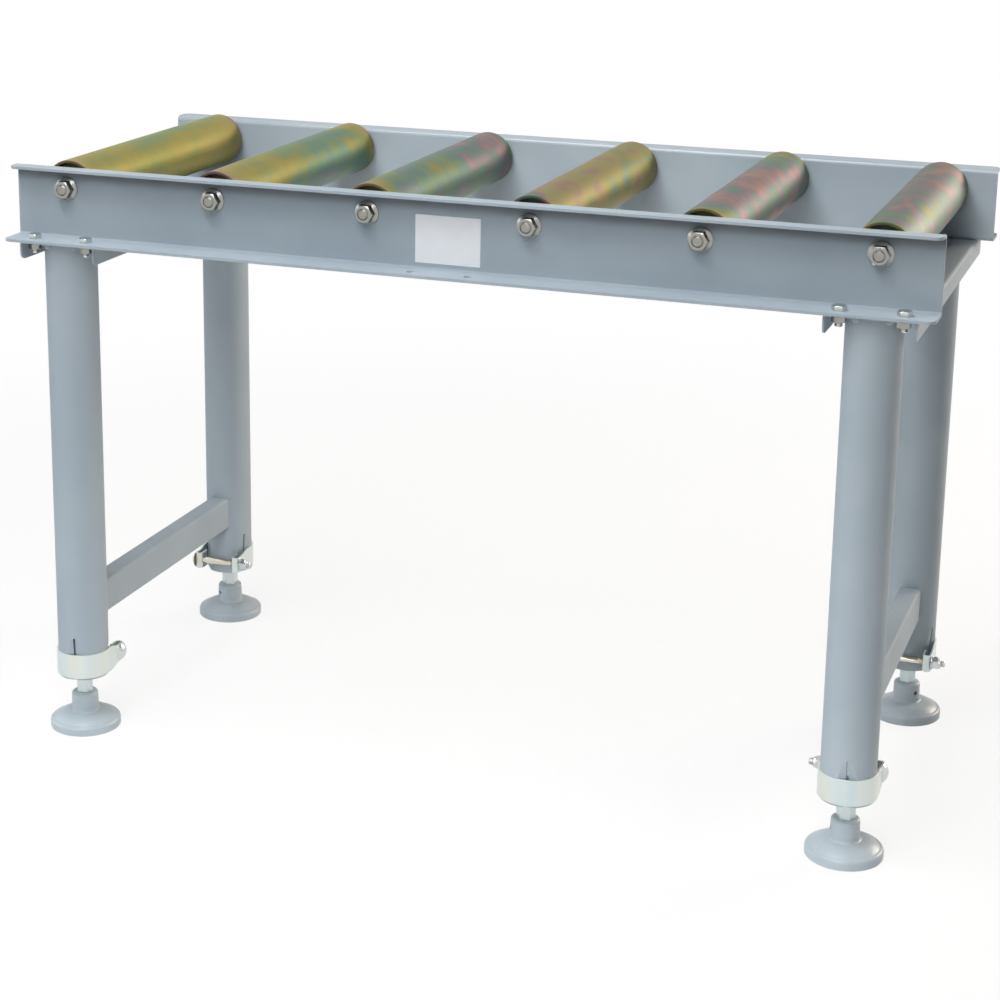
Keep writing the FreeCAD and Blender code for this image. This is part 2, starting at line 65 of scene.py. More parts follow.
legCorners = ("front_left", "front_right", "rear_left", "rear_right")


def middleOf(node):
    low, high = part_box(node)
    return (low + high) / 2


def halfSizeOf(node):
    low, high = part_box(node)
    return (high - low) / 2


railSheet = {"thick": 0.003, "bottomFlange": 0.037}  # the flange reaches out from the web's outer side
railLow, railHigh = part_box("front_rail")
railFoot, railTop = railLow.z, railHigh.z
railInner = -railHigh.y  # the web's roller side, as a distance from the table's middle line
railFace = railLow.y + railSheet["bottomFlange"]  # the front web's outer side
legMiddle = middleOf("leg_tube_rear_right")
clampHeight = middleOf("clamp_collar_front_left").z
firstAxle, lastAxle = middleOf("roller_1_tube"), middleOf("roller_6_tube")
rollerHalf = halfSizeOf("roller_1_tube").y


# Shader maths

class Shade:
    # wraps one socket: + - * / on it add Math nodes, and every other node comes from node()
    def __init__(self, tree, socket=None):
        self.tree = tree
        self.socket = socket

    def node(self, kind, settings, sockets, output=0):
        made = self.tree.nodes.new("ShaderNode" + kind)
        for name, value in settings.items():
            if name == "stops":
                setStops(made.color_ramp, value)
            else:
                setattr(made, name, value)
        for name, value in sockets.items():
            if isinstance(value, Shade):
                self.tree.links.new(value.socket, made.inputs[name])
            else:
                made.inputs[name].default_value = value
        return Shade(self.tree, made.outputs[output] if made.outputs else None)

    def output(self, name):  # another output of the same node
        return Shade(self.tree, self.socket.node.outputs[name])

    def math(self, operation, first, second=0.0):
        return self.node("Math", {"operation": operation}, {0: first, 1: second})

    def __add__(self, other):
        return self.math("ADD", self, other)

    def __radd__(self, other):
        return self.math("ADD", other, self)

    def __sub__(self, other):
        return self.math("SUBTRACT", self, other)

    def __rsub__(self, other):
        return self.math("SUBTRACT", other, self)

    def __mul__(self, other):
        return self.math("MULTIPLY", self, other)

    def __rmul__(self, other):
        return self.math("MULTIPLY", other, self)

    def __truediv__(self, other):
        return self.math("DIVIDE", self, other)

    def __mod__(self, other):  # always between 0 and the divisor
        return self.math("FLOORED_MODULO", self, other)

    def size(self):  # without its sign
        return self.math("ABSOLUTE", self)

    def root(self):
        return self.math("SQRT", self)

    def sine(self):
        return self.math("SINE", self)

    def between(self, low, high):  # eased rise from 0 at low to 1 at high
        span = {"Value": self, "From Min": low, "From Max": high}
        return self.node("MapRange", {"interpolation_type": "SMOOTHSTEP"}, span)

    def past(self, limit, fade=0.0003):  # 0 below a limit and 1 above it, with a short fade
        return self.between(limit - fade, limit + fade)

    def mix(self, first, second):  # this value picks a colour between two
        return self.node("Mix", {"data_type": "RGBA"}, {0: self, 6: first, 7: second}, 2)

    def ramp(self, stops):
        return self.node("ValToRGB", {"stops": stops}, {0: self})

    def noise(self, scale, detail, stretch=(1.0, 1.0, 1.0), move=(0.0, 0.0, 0.0)):
        # cloudy pattern at this position, its cells drawn out where stretch is small
        spot = self.node("Mapping", {}, {"Vector": self, "Scale": stretch, "Location": move})
        return self.node("TexNoise", {}, {"Vector": spot, "Scale": scale, "Detail": detail})


def setStops(ramp, stops):
    while len(ramp.elements) < len(stops):
        ramp.elements.new(1.0)
    for element, (place, colour) in zip(ramp.elements, stops):
        element.position = place
        element.color = colour


def tone(red, green, blue):
    # a screen colour of 0 to 255 as the linear colour that a shader takes, by the sRGB curve
    share = np.array([red, green, blue]) / 255
    linear = np.where(share > 0.04045, ((share + 0.055) / 1.055) ** 2.4, share / 12.92)
    return (*linear.tolist(), 1.0)


def startMaterial(name):
    # a new material and the Object coordinates that its patterns read
    material = bpy.data.materials.new(name)
    material.use_nodes = True
    material.node_tree.nodes.clear()
    spot = Shade(material.node_tree).node("TexCoord", {}, {}, "Object")
    return material, spot


def endMaterial(spot, sockets):
    surface = spot.node("BsdfPrincipled", {}, sockets, "BSDF")
    spot.node("OutputMaterial", {}, {"Surface": surface})


def relief(spot, height, depth, edge):
    # bump of a height pattern in metres, over edges that are rounded in the shading
    soft = spot.node("Bevel", {"samples": 4}, {"Radius": edge}, "Normal")
    return spot.node("Bump", {}, {"Height": height, "Distance": depth, "Normal": soft}, "Normal")


# Finishes

railPaint = {
    "light": (172, 183, 191),
    "dark": (163, 175, 184),
    "clouds": {"scale": 7.0, "detail": 3.0},
    "cloudSpan": (0.3, 0.7),
    "handling": {"scale": 42.0, "detail": 4.0, "stretch": (1.0, 1.0, 0.4)},
    "peel": {"scale": 620.0, "detail": 2.0},
    "peelDepth": 0.00006,
    "rough": 0.46,
    "roughSpread": 0.12,
    "sheen": 0.05,
    "edge": 0.0007,
}
footPaint = {
    "light": (179, 190, 197),
    "dark": (169, 181, 189),
    "clouds": {"scale": 22.0, "detail": 3.0},
    "cloudSpan": (0.3, 0.7),
    "handling": {"scale": 132.0, "detail": 4.0, "stretch": (1.0, 1.0, 0.4)},
    "peel": {"scale": 260.0, "detail": 2.0},
    "peelDepth": 0.00022,
    "rough": 0.34,
    "roughSpread": 0.10,
    "sheen": 0.40,
    "edge": 0.0009,
}
rubbedFold = {  # the rails' top bends, by height and by distance from the table's middle line
    "shine": 0.8,
    "gloss": 0.14,
    "above": railTop - 0.005,
    "within": railInner + 0.005,
}
# painted shade: the web's outer side darkened towards the underside of the top flange
paintedCornerShade = {  # on the web's outer side, up to the top flange's underside
    "colour": (72, 62, 54),
    "share": 0.62,
    "rise": (railTop - 0.019, railTop - 0.005),
    "under": railTop - railSheet["thick"],
    "beyond": railInner + 0.002,
    "least": 0.8,
    "spread": 0.4,
}


def sprayedPaint(name, look, isRail=False):
    # satin stove paint: two close tones in slow clouds, and the fine orange peel of the spray
    # on a rail, a coat of shine where the goods slide over the top bend, and under the top flange
    # a line of painted shade that darkens towards it
    material, spot = startMaterial(name)
    clouds = spot.noise(**look["clouds"])
    peel = spot.noise(**look["peel"])
    handling = spot.noise(**look["handling"])
    colour = clouds.between(*look["cloudSpan"]).mix(tone(*look["dark"]), tone(*look["light"]))
    sockets = {
        "Base Color": colour,
        "Roughness": look["rough"] + look["roughSpread"] * (handling - 0.5),
        "Specular IOR Level": look["sheen"],
        "Normal": relief(spot, peel, look["peelDepth"], look["edge"]),
    }
    if isRail:
        across = spot.node("SeparateXYZ", {}, {0: spot}, "Y")
        away, height = across.size(), across.output("Z")
        folded = height.past(rubbedFold["above"]) * (1 - away.past(rubbedFold["within"]))
        sockets["Coat Weight"] = rubbedFold["shine"] * folded
        sockets["Coat Roughness"] = rubbedFold["gloss"]
        # painted shade in the corner under the top flange, darkest just below it and uneven by the handling
        # pattern
        corner = (1 - height.past(paintedCornerShade["under"])) * away.past(paintedCornerShade["beyond"])
        uneven = paintedCornerShade["least"] + paintedCornerShade["spread"] * handling
        paintedShade = height.between(*paintedCornerShade["rise"]) * corner * uneven
        sockets["Base Color"] = (paintedCornerShade["share"] * paintedShade).mix(colour, tone(*paintedCornerShade["colour"]))
    endMaterial(spot, sockets)
    return material


passivateBands = (  # colours of the thin yellow passivation film, from thin to thick and round again
    (0.00, tone(144, 134, 66)),
    (0.14, tone(146, 136, 84)),
    (0.28, tone(146, 124, 94)),
    (0.40, tone(146, 110, 108)),
    (0.52, tone(122, 108, 114)),
    (0.64, tone(86, 120, 112)),
    (0.78, tone(104, 128, 94)),
    (0.90, tone(128, 130, 72)),
    (1.00, tone(144, 134, 66)),
)
rollerFilms = (
    # film thickness along each roller: at its middle, its rise to the rear and its rise to both ends
    # then the share of each pattern, where the patterns start, and how far the roller is shaded
    {"middle": 0.04, "slope": 0.00, "bow": 0.00, "clouds": 0.65, "patches": 0.35, "streaks": 0.10,
     "start": 0.31, "shade": 0.04},
    {"middle": 0.65, "slope": 0.00, "bow": 0.28, "clouds": 1.10, "patches": 0.60, "streaks": 0.20,
     "start": 1.74, "shade": 0.15},
    {"middle": 0.66, "slope": -0.12, "bow": 0.06, "clouds": 1.40, "patches": 0.60, "streaks": 0.30,
     "start": 3.12, "shade": 0.28},
    {"middle": 0.04, "slope": 0.00, "bow": 0.06, "clouds": 1.40, "patches": 1.00, "streaks": 0.15,
     "start": 4.53, "shade": 0.38},
    {"middle": 0.46, "slope": -0.06, "bow": 0.23, "clouds": 0.80, "patches": 0.80, "streaks": 0.40,
     "start": 6.27, "shade": 0.37},
    {"middle": 0.54, "slope": -0.05, "bow": 0.04, "clouds": 0.80, "patches": 1.10, "streaks": 0.30,
     "start": 7.91, "shade": 0.50},
)
passivateLook = {
    "clouds": {"scale": 19.0, "detail": 1.0, "stretch": (1.0, 0.16, 1.0)},
    "patches": {"scale": 46.0, "detail": 1.2, "stretch": (1.0, 0.5, 1.0)},
    "streaks": {"scale": 40.0, "detail": 0.5, "stretch": (0.45, 1.7, 0.45)},
    "startWay": (1.0, 2.3, -1.0),  # how a roller's start moves its patterns along each axis
    "rim": (rollerHalf - 0.018, rollerHalf),  # where the film thickens towards the ends
    "rimRise": 0.24,
    "cutEnd": (rollerHalf - 0.0008, rollerHalf - 0.0003),  # where the sawn ends begin
    "cutShade": 0.6,
    "cutMetal": 0.3,
    "cutRough": 0.2,
    # painted shade: the end cups, set inside the tube ends, darkened towards brown
    "cupPaintedShade": 0.55,
    "brown": (58, 44, 26),
    "metal": 0.72,
    "rough": 0.54,
    "roughSpread": 0.14,
    "grind": {"scale": 700.0, "detail": 2.0, "stretch": (1.0, 0.05, 1.0)},
    "grindDepth": 0.00002,
    "edge": 0.0005,
}


def yellowPassivate(name, film, shade):
    # zinc with a rainbow film: its thickness follows a parabola along the roller, drifts in clouds drawn out
    # along it, in patches and in streaks round it, and rises at the rims
    # the sawn ends are dull and brown, and shade darkens the whole: a darker tone on the tubes, painted shade
    # on the end cups
    look = passivateLook
    material, spot = startMaterial(name)
    move = tuple(film["start"] * way for way in look["startWay"])
    clouds, patches, streaks = (
        spot.noise(**look[kind], move=move) for kind in ("clouds", "patches", "streaks")
    )
    drift = film["clouds"] * (clouds - 0.5) + film["patches"] * (patches - 0.5)
    drift = drift + film["streaks"] * (streaks - 0.5)
    along = spot.node("SeparateXYZ", {}, {0: spot}, "Y")
    share, out = along / rollerHalf, along.size()
    course = film["middle"] + share * (film["slope"] + film["bow"] * share)
    rim = look["rimRise"] * out.between(*look["rim"])
    colour = ((course + drift + rim) % 1.0).ramp(passivateBands)
    cut = out.between(*look["cutEnd"])
    dull = cut.math("MAXIMUM", look["cutShade"] * cut, shade)
    grind = spot.noise(**look["grind"])
    endMaterial(spot, {
        "Base Color": dull.mix(colour, tone(*look["brown"])),
        "Metallic": look["metal"] - look["cutMetal"] * cut,
        "Roughness": look["rough"] + look["roughSpread"] * (patches - 0.5) + look["cutRough"] * cut,
        "Normal": relief(spot, grind, look["grindDepth"], look["edge"]),
    })
    return material


platings = {
    "strap": {"base": (212, 220, 217), "warm": (222, 220, 204), "cool": (194, 212, 220),
              "metal": 0.7, "rough": 0.33},
    "spindle": {"base": (208, 219, 221), "warm": (212, 218, 212), "cool": (196, 212, 220),
                "metal": 0.4, "rough": 0.26},
    "bolt": {"base": (204, 206, 204), "warm": (206, 204, 190), "cool": (188, 196, 200),
             "metal": 1.0, "rough": 0.18},
    # darker than the bolts: partly the nuts' own plain steel, partly painted shade on the rail nuts under the
    # flange and painted dark reflections on the axle nuts
    "nut": {"base": (154, 154, 150), "warm": (160, 155, 144), "cool": (142, 145, 146),
            "metal": 1.0, "rough": 0.25},
    # nearly black: dark pin steel, and painted shade in the foot's cross hole
    "pin": {"base": (22, 21, 20), "warm": (26, 23, 20), "cool": (18, 19, 20),
            "metal": 1.0, "rough": 0.55},
}
platingMarks = {
    "cast": {"scale": 48.0, "detail": 1.0, "stretch": (1.0, 1.0, 0.2)},
    "warmSpan": (0.45, 0.90),
    "coolSpan": (0.55, 0.10),
    "mottle": {"scale": 60.0, "detail": 2.0},
    "roughSpread": 0.12,
    "rolled": {"scale": 320.0, "detail": 1.0, "stretch": (0.2, 0.2, 2.0)},
    "rolledDepth": 0.000002,
    "edge": 0.0004,
}
shankTint = {"colour": (210, 203, 184), "share": 0.75, "reach": (0.0230, 0.0250)}


def platedSteel(name, look, isShank=False):
    # bright plating: a faint warm and cool cast in upright streaks, mottled gloss and fine rolling marks
    # on a shank, straw yellow between the clamp's lugs, by the distance along X from the leg
    material, spot = startMaterial(name)
    cast = spot.noise(**platingMarks["cast"])
    mottle = spot.noise(**platingMarks["mottle"])
    rolled = spot.noise(**platingMarks["rolled"])
    warmed = cast.between(*platingMarks["warmSpan"]).mix(tone(*look["base"]), tone(*look["warm"]))
    colour = cast.between(*platingMarks["coolSpan"]).mix(warmed, tone(*look["cool"]))
    if isShank:
        along = spot.node("SeparateXYZ", {}, {0: spot}, "X")
        away = (along.size() - legMiddle.x).size()
        tint = shankTint["share"] * (1 - away.between(*shankTint["reach"]))
        colour = tint.mix(colour, tone(*shankTint["colour"]))
    endMaterial(spot, {
        "Base Color": colour,
        "Metallic": look["metal"],
        "Roughness": look["rough"] + platingMarks["roughSpread"] * (mottle - 0.5),
        "Normal": relief(spot, rolled, platingMarks["rolledDepth"], platingMarks["edge"]),
    })
    return material


axlePitch = (lastAxle.x - firstAxle.x) / (len(rollerFilms) - 1)


def fromAxle(spot):
    # distance from the nearest roller's axle, as all six stand at one pitch
    parts = spot.node("SeparateXYZ", {}, {0: spot})
    across = (parts + (axlePitch / 2 - firstAxle.x)) % axlePitch - axlePitch / 2
    above = parts.output("Z") - firstAxle.z
    return (across * across + above * above).root()


turnedLook = {
    "light": (164, 162, 156),
    "dark": (132, 131, 127),
    "mottle": {"scale": 120.0, "detail": 3.0},
    "rough": 0.24,
    "roughSpread": 0.14,
    "groove": 0.0006,
    "grooveDepth": 0.00002,
    "edge": 0.0005,
}


def turnedSteel(name, look):
    # bright turned bar: fine rings round the axle, as a sine of the distance from it, and mottled gloss
    material, spot = startMaterial(name)
    rings = (fromAxle(spot) * (2 * math.pi / look["groove"])).sine()
    mottle = spot.noise(**look["mottle"])
    endMaterial(spot, {
        "Base Color": mottle.mix(tone(*look["dark"]), tone(*look["light"])),
        "Metallic": 1.0,
        "Roughness": look["rough"] + look["roughSpread"] * mottle,
        "Normal": relief(spot, rings, look["grooveDepth"], look["edge"]),
    })
    return material


bearingLook = {
    "steel": (176, 178, 178),
    "rubber": (36, 34, 33),
    "sealEdge": (0.0138, 0.0141),
    "rough": 0.2,
    "rubberRough": 0.38,
    "roughSpread": 0.1,
    "grain": {"scale": 700.0, "detail": 2.0},
    "grainDepth": 0.00003,
    "edge": 0.0004,
}


def sealedBearing(name, look):
    # steel outer ring with a dark rubber seal inside it, told apart by the distance from the axle
    material, spot = startMaterial(name)
    seal = 1 - fromAxle(spot).between(*look["sealEdge"])
    grain = spot.noise(**look["grain"])
    endMaterial(spot, {
        "Base Color": seal.mix(tone(*look["steel"]), tone(*look["rubber"])),
        "Metallic": 1 - seal,
        "Roughness": look["rough"] + look["rubberRough"] * seal + look["roughSpread"] * (grain - 0.5),
        "Normal": relief(spot, grain, look["grainDepth"], look["edge"]),
    })
    return material


tubeLook = {
    "light": (204, 210, 210),
    "blue": (178, 190, 196),
    "film": {"scale": 30.0, "detail": 3.0},
    "lines": {"scale": 1100.0, "detail": 3.0, "stretch": (1.0, 1.0, 0.012)},
    "lineDepth": 0.00003,
    "rough": 0.24,
    "lineRough": 0.2,
    "filmRough": 0.08,
    "edge": 0.0005,
}


def drawnTube(name, look):
    # zinc plated drawn tube: fine lines along the leg, and a blue passivation that is uneven
    material, spot = startMaterial(name)
    lines = spot.noise(**look["lines"])
    film = spot.noise(**look["film"])
    endMaterial(spot, {
        "Base Color": film.mix(tone(*look["blue"]), tone(*look["light"])),
        "Metallic": 1.0,
        "Roughness": look["rough"] + look["lineRough"] * lines + look["filmRough"] * film,
        "Normal": relief(spot, lines, look["lineDepth"], look["edge"]),
    })
    return material


vinylLook = {
    "light": (247, 248, 250),
    "dark": (238, 240, 244),
    "mottle": {"scale": 90.0, "detail": 3.0},
    "rough": 0.28,
    "roughSpread": 0.1,
    "ripple": {"scale": 60.0, "detail": 1.0},
    "rippleDepth": 0.0001,
    "edge": 0.0002,
}


def labelFilm(name, look):
    # white vinyl: faint mottle of the film, slightly glossy and rippled
    material, spot = startMaterial(name)
    mottle = spot.noise(**look["mottle"])
    ripple = spot.noise(**look["ripple"])
    endMaterial(spot, {
        "Base Color": mottle.mix(tone(*look["dark"]), tone(*look["light"])),
        "Roughness": look["rough"] + look["roughSpread"] * mottle,
        "Normal": relief(spot, ripple, look["rippleDepth"], look["edge"]),
    })
    return material


stovePaint = sprayedPaint("stovePaint", railPaint)
rubbedPaint = sprayedPaint("rubbedPaint", railPaint, isRail=True)
castPaint = sprayedPaint("castPaint", footPaint)
strapZinc = platedSteel("strapZinc", platings["strap"])
spindleZinc = platedSteel("spindleZinc", platings["spindle"])
boltZinc = platedSteel("boltZinc", platings["bolt"])
shankZinc = platedSteel("shankZinc", platings["bolt"], isShank=True)
nutSteelAndShade = platedSteel("nutSteelAndShade", platings["nut"])
pinSteelAndHoleShade = platedSteel("pinSteelAndHoleShade", platings["pin"])
barSteel = turnedSteel("barSteel", turnedLook)
bearingSteel = sealedBearing("bearingSteel", bearingLook)
legSteel = drawnTube("legSteel", tubeLook)
finishOf = {  # by the first words of a node's name, and the first that fits counts
    "front_rail": rubbedPaint,
    "rear_rail": rubbedPaint,
    "top_channel": stovePaint,
    "cross_brace": stovePaint,
    "leg_tube": stovePaint,
    "foot_pin": pinSteelAndHoleShade,
    "foot": castPaint,
    "clamp_collar": strapZinc,
    "clamp": boltZinc,
    # the rail nuts take the darker nut plating as painted shade under the flange
    "rail_nuts": nutSteelAndShade,
    "rail_bolts": boltZinc,
    "end_plate": strapZinc,
    "spindle": spindleZinc,
    "axle_nuts": nutSteelAndShade,
    "axle_spacers": barSteel,
    "roller_axles": barSteel,
    "bearing_inner_rings": bearingSteel,
    "inner_tube": legSteel,
}
for number, film in enumerate(rollerFilms, 1):
    tubeFinish = yellowPassivate(f"yellowPassivate{number}", film, film["shade"])
    # the end cups take painted shade, as they sit in the hollow tube ends
    cupFinish = yellowPassivate(f"cupPassivate{number}", film, passivateLook["cupPaintedShade"])
    finishOf[f"roller_{number}_tube"] = tubeFinish
    finishOf[f"roller_{number}_end_cups"] = cupFinish
    finishOf[f"roller_{number}_bearings"] = bearingSteel
for name, cadObject in nodes.items():
    finish = next(made for start, made in finishOf.items() if name.startswith(start))
    cadObject.data.materials.clear()
    cadObject.data.materials.append(finish)
print("finishes:", len(bpy.data.materials), "materials on the CAD nodes")


# Surfaces

def surfacePiece(name, grids, material, body, sharp=32.0):
    # one mesh from grids of points, each a row of rings along a path, with a fan of faces closing both ends
    spots, faces, first = [], [], 0
    for grid in grids:
        rows, cols = grid.shape[:2]
        here = first + np.arange(rows * cols).reshape(rows, cols)
        beside = np.roll(here, -1, axis=1)
        foot = np.full(cols, first + rows * cols)
        faces.append(np.stack([here[:-1], beside[:-1], beside[1:], here[1:]], -1).reshape(-1, 4))
        faces.append(np.stack([beside[0], here[0], foot], -1))
        faces.append(np.stack([here[-1], beside[-1], foot + 1], -1))
        spots += [grid.reshape(-1, 3), grid[0].mean(0)[None], grid[-1].mean(0)[None]]
        first += rows * cols + 2
    counts = np.concatenate([np.full(len(face), face.shape[1]) for face in faces])
    loops = np.concatenate([face.ravel() for face in faces])
    mesh = bpy.data.meshes.new(name)
    mesh.vertices.add(first)
    mesh.vertices.foreach_set("co", np.concatenate(spots).astype(np.float32).ravel())
    mesh.loops.add(len(loops))
    mesh.loops.foreach_set("vertex_index", loops.astype(np.int32))
    mesh.polygons.add(len(counts))
    mesh.polygons.foreach_set("loop_start", (np.cumsum(counts) - counts).astype(np.int32))
    mesh.update(calc_edges=True)
    mesh.shade_smooth()
    mesh.set_sharp_from_angle(angle=math.radians(sharp))
    mesh.materials.append(material)
    piece = bpy.data.objects.new(name, mesh)
    bpy.context.scene.collection.objects.link(piece)
    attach(piece, body)
    print("piece:", name, len(counts), "faces")
    return piece


def sweptBead(path, outward, radius, around):
    # a round section carried along a path: each ring lies across it, turned from outward towards the side
    along = np.gradient(path, axis=0)
    along /= np.linalg.norm(along, axis=1, keepdims=True)
    aside = np.cross(along, outward)
    turn = np.arange(around)[None, :, None] * 2 * math.pi / around
    ring = outward[:, None] * np.cos(turn) + aside[:, None] * np.sin(turn)
    return path[:, None] + radius[:, None, None] * ring


def turnedShape(sections, around=48):
    # rings along Z: each section has its heights, and its radius as a function of height and angle
    angle = np.arange(around)[None, :] * 2 * math.pi / around
    rings = []
    for heights, radius in sections:
        height = np.asarray(heights)[:, None]
        reach = radius(height, angle) * np.ones_like(height * angle)
        level = height * np.ones_like(angle)
        rings.append(np.stack([reach * np.cos(angle), reach * np.sin(angle), level], -1))
    return np.concatenate(rings)


def cone(low, high, lowRadius, highRadius):
    # radius that goes straight from one value to another
    slope = (highRadius - lowRadius) / (high - low)
    return (low, high), lambda height, angle: lowRadius + slope * (height - low)


hexagonEnd = {"land": 0.475, "slope": math.tan(math.radians(30)), "rings": 7}  # land in widths across flats


def sixFlats(low, high, acrossFlats, isCutBelow, isCutAbove):
    # hexagon: half the width over the cosine of the angle from the nearest flat, cut by a flat cone at an end
    land, slope = hexagonEnd["land"] * acrossFlats, hexagonEnd["slope"]
    drop = (acrossFlats / math.sqrt(3) - land) * slope
    steps = np.linspace(0, drop, hexagonEnd["rings"])
    heights = np.concatenate([low + steps, high - drop + steps])

    def radius(height, angle):
        flat = acrossFlats / 2 / np.cos(angle % (math.pi / 3) - math.pi / 6)
        below = land + (height - low) / slope if isCutBelow else flat
        above = land + (high - height) / slope if isCutAbove else flat
        return np.minimum(flat, np.minimum(below, above))

    return heights, radius


threadForm = {
    "ringsPerTurn": 8,
    "crest": 0.15,  # in half pitches, like the flank
    "flank": 0.65,
    "depth": 0.6,  # in pitches
}


def thread(low, high, major, pitch, fade):
    # crest radius less a groove with sloping sides that climbs one pitch a turn, and fades in over a length
    heights = np.linspace(low, high, int((high - low) / pitch * threadForm["ringsPerTurn"]) + 1)

    def radius(height, angle):
        wave = np.abs(2 * ((height / pitch - angle / (2 * math.pi)) % 1.0) - 1)
        groove = np.clip((wave - threadForm["crest"]) / threadForm["flank"], 0, 1)
        deep = np.clip((height - low) / fade, 0, 1)
        return major - threadForm["depth"] * pitch * groove * deep

    return heights, radius


def placed(points, spot, axis=(0, 0, 1), turn=0.0):
    # turns the points about their Z by degrees, tips them so that it lies along axis, then moves them
    tip = Vector((0, 0, 1)).rotation_difference(Vector(axis)).to_matrix()
    spin = Matrix.Rotation(math.radians(turn), 3, "Z")
    return points @ np.array(tip @ spin).T + np.array(spot)


# Levelling spindles, with a real thread that shows when a foot is screwed out

spindleFoot, spindleTop = (corner.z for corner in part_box("spindle_front_left"))
spindle = {
    "groove": (0.0272, 0.0328),
    "hexagon": (0.0412, 0.0620),
    "neckRadius": 0.006,
    "grooveRadius": 0.0045,
    "acrossFlats": 0.017,
    "threadRadius": 0.008,
    "pitch": 0.002,
    "fade": 0.003,
    "step": 0.0006,  # from the crest in to the tip's chamfer
    "chamfer": 0.0013,
    "sharp": 24.0,
    "turns": {"front_left": 3.0, "front_right": 5.0, "rear_left": 27.0, "rear_right": -17.0},
}


def spindleShape():
    # from the floor up: neck with its groove, hexagon, thread and chamfered tip
    low, high = spindle["hexagon"]
    grooveLow, grooveHigh = spindle["groove"]
    neck, slim, rod = spindle["neckRadius"], spindle["grooveRadius"], spindle["threadRadius"]
    shoulder = spindleTop - spindle["chamfer"]
    return turnedShape([
        cone(spindleFoot, grooveLow, neck, neck),
        cone(grooveLow, grooveHigh, slim, slim),
        cone(grooveHigh, low, neck, neck),
        sixFlats(low, high, spindle["acrossFlats"], False, True),
        thread(high, shoulder, rod, spindle["pitch"], spindle["fade"]),
        cone(shoulder, spindleTop, rod - spindle["step"], rod - spindle["chamfer"]),
    ])


for corner in legCorners:
    middle = middleOf(f"spindle_{corner}")
    shape = placed(spindleShape(), (middle.x, middle.y, 0), turn=spindle["turns"][corner])
    name, body = f"threaded_spindle_{corner}", f"levelling_spindle_{corner}"
    made = surfacePiece(name, [shape], spindleZinc, body, spindle["sharp"])
    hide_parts(f"spindle_{corner}")


# Bolts that hold the rails on the leg frames, threaded below

railBolt = {
    "fromLeg": 0.031,
    "fromWeb": 0.0215,
    "head": 0.0053,
    "acrossFlats": 0.013,
    "radius": 0.004,
    "pitch": 0.00125,
    "fade": 0.001,
    "step": 0.0003,
    "grip": 0.0052,
    "length": 0.016,
    "chamfer": 0.001,
    "sharp": 24.0,
    "turn": 4.0,
}


def railBoltShape():
    # from the tip up: chamfer, thread, plain shank and hexagon head, which sits at height 0
    tip, radius, chamfer = -railBolt["length"], railBolt["radius"], railBolt["chamfer"]
    return turnedShape([
        cone(tip, tip + chamfer, radius - chamfer, radius - railBolt["step"]),
        thread(tip + chamfer, -railBolt["grip"], radius, railBolt["pitch"], railBolt["fade"]),
        cone(-railBolt["grip"], 0, radius, radius),
        sixFlats(0, railBolt["head"], railBolt["acrossFlats"], False, True),
    ])


boltOut, boltSeat = railBolt["fromWeb"] - railFace, railFoot + railSheet["thick"]
railBoltSpots = [
    (leg * legMiddle.x + side * railBolt["fromLeg"], rail * boltOut, boltSeat)
    for leg in (-1, 1) for side in (-1, 1) for rail in (-1, 1)
]
railBolts = [placed(railBoltShape(), spot, turn=railBolt["turn"]) for spot in railBoltSpots]
made = surfacePiece("threaded_rail_bolts", railBolts, boltZinc, "frame", railBolt["sharp"])
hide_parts("rail_bolts")


# Cup-head bolts of the strap clamps

clampBolt = {
    "seat": 0.03052,  # of the head, along X from the leg's middle
    "inFromLeg": 0.033,  # towards the table's middle line
    "headRadius": 0.0103,
    "headHeight": 0.0049,
    "crown": 0.04,  # radians, the first ring of the dome
    "rings": 10,
    "radius": 0.004,
    "pitch": 0.00125,
    "fade": 0.002,
    "step": 0.0003,
    "length": 0.07664,
    "plain": 0.046,
    "chamfer": 0.001,
}


def clampBoltShape():
    # the cup is part of a ball, with its rings at even steps round the dome from a small crown
    rim, rise, radius = clampBolt["headRadius"], clampBolt["headHeight"], clampBolt["radius"]
    ball = (rim**2 + rise**2) / (2 * rise)
    steps = np.linspace(clampBolt["crown"], math.asin(rim / ball), clampBolt["rings"])
    dome = ball - rise - ball * np.cos(steps)
    shoulder = clampBolt["length"] - clampBolt["chamfer"]
    return turnedShape([
        (dome, lambda height, angle: np.sqrt(ball**2 - (height - (ball - rise)) ** 2)),
        cone(0, clampBolt["plain"], radius, radius),
        thread(clampBolt["plain"], shoulder, radius, clampBolt["pitch"], clampBolt["fade"]),
        cone(shoulder, clampBolt["length"], radius - clampBolt["step"], radius - clampBolt["chamfer"]),
    ])


clampBolts = []
for leg in (-1, 1):
    for rail in (-1, 1):
        x = leg * legMiddle.x - rail * clampBolt["seat"]
        y = rail * (legMiddle.y - clampBolt["inFromLeg"])
        clampBolts.append(placed(clampBoltShape(), (x, y, clampHeight), (rail, 0, 0)))
made = surfacePiece("threaded_clamp_bolts", clampBolts, shankZinc, "frame")
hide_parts("clamp_bolts")


# Tacks that hold each leg tube under its channel

tackWeld = {
    "turns": (-29, 37, 151, 217),  # degrees round the leg from its front
    "halfArc": 9.0,
    "radius": 0.0042,
    "out": 0.0004,
    "down": 0.0014,
    "ripple": 0.08,
    "drops": 9,
    "rings": 17,
    "around": 12,
    "tip": 0.0004,
}


